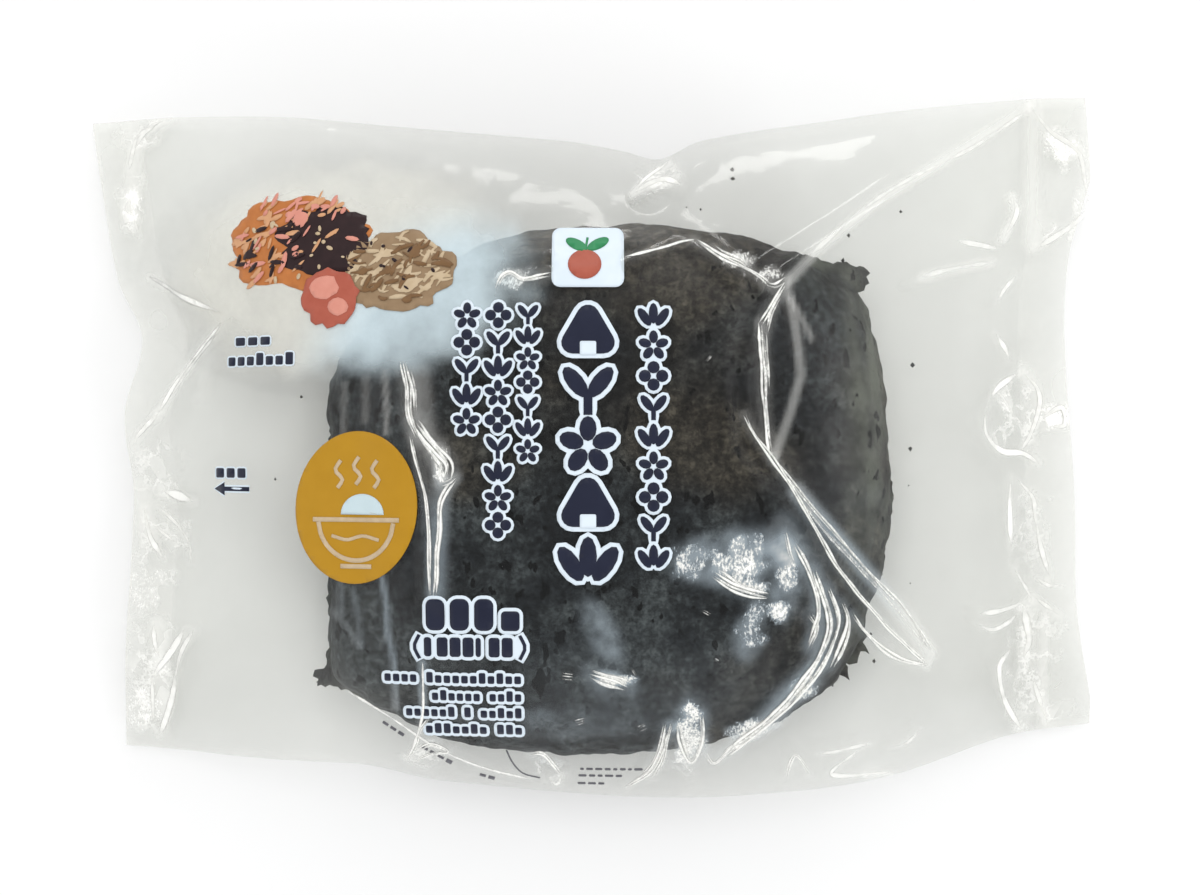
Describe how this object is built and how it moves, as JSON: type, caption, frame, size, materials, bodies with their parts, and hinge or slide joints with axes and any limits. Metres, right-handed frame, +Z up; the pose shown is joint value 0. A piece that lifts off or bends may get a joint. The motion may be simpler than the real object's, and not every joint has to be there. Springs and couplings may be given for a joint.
{
  "type": "wrapped rice ball in a clear film pack",
  "caption": "Large flat rice ball wrapped in dried seaweed, sealed in a clear printed pillow pack that lies on its back.",
  "frame": {"origin": "under the middle of the pack's box, on the surface that it lies on", "axes": "+X along the pack from end seal to end seal, +Y across it, +Z up through its printed face"},
  "size_m": [0.1862, 0.1289, 0.0357],
  "materials": {
    "film": "thin clear film, slightly milky, glossy and creased",
    "seaweed": "dark grey-green dried seaweed sheet, matte and fibrous, soft from the rice under it",
    "print_dark": "blue-black ink on film",
    "print_white": "opaque white ink on film",
    "print_mist": "white ink that fades out over the film",
    "print_mustard": "mustard yellow ink on film",
    "print_food": "fields of brown, beige and coral ink that stand for the fillings"
  },
  "bodies": {
    "root": {"film_pack": "film"}
  },
  "joints": []
}
